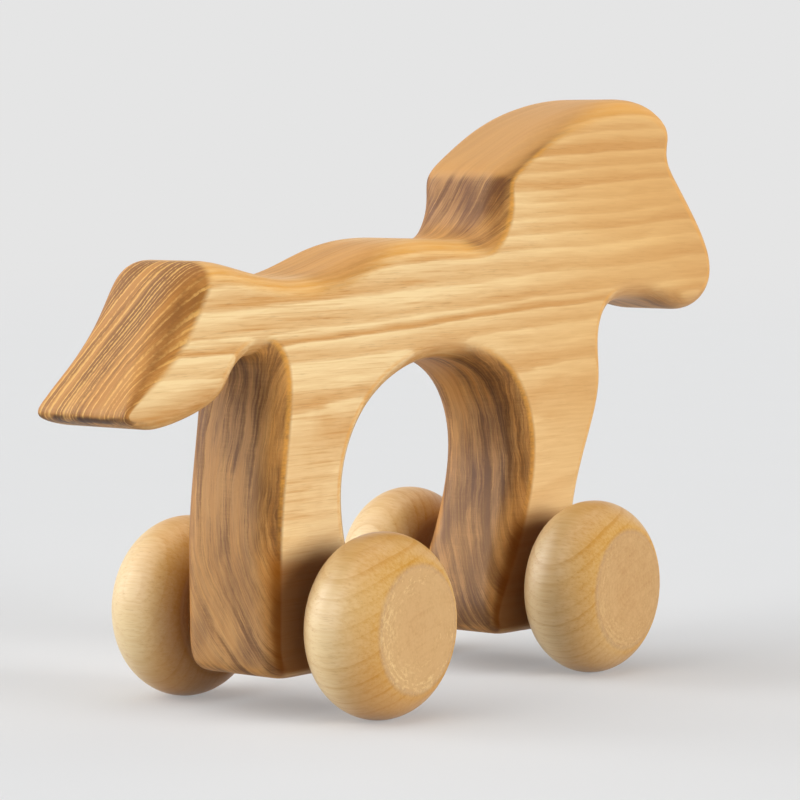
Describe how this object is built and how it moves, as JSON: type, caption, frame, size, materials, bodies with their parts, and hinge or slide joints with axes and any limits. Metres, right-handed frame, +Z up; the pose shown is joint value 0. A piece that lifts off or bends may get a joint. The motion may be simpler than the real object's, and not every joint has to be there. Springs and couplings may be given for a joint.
{
  "type": "push-along toy horse",
  "caption": "Wooden push-along toy horse: a thick board sawn to a horse's outline, with rounded edges and an arched belly, on fat turned wheels glued to dowels that roll in the legs.",
  "frame": {"origin": "on the floor, under the middle of the body's length and of the board's thickness", "axes": "+X to the horse's nose, +Y to its left, +Z up"},
  "size_m": [0.172, 0.0546, 0.1004],
  "materials": {
    "horse_wood": "sanded and oiled, satin",
    "wheel_wood": "turned, sanded and oiled, matt to satin",
    "dowel_wood": "plain dowel, matt"
  },
  "bodies": {
    "horse": {"horse_body": "horse_wood"},
    "rear_wheels": {"rear_axle": "dowel_wood", "rear_left_wheel": "wheel_wood", "rear_right_wheel": "wheel_wood"},
    "front_wheels": {"front_axle": "dowel_wood", "front_left_wheel": "wheel_wood", "front_right_wheel": "wheel_wood"}
  },
  "joints": [
    {"name": "rear_axle_turn", "type": "hinge", "parent": "horse", "child": "rear_wheels", "pos_m": [-0.03698, 0, 0.015], "axis": [0, 1, 0], "continuous": true},
    {"name": "front_axle_turn", "type": "hinge", "parent": "horse", "child": "front_wheels", "pos_m": [0.02546, 0, 0.015], "axis": [0, 1, 0], "continuous": true}
  ]
}
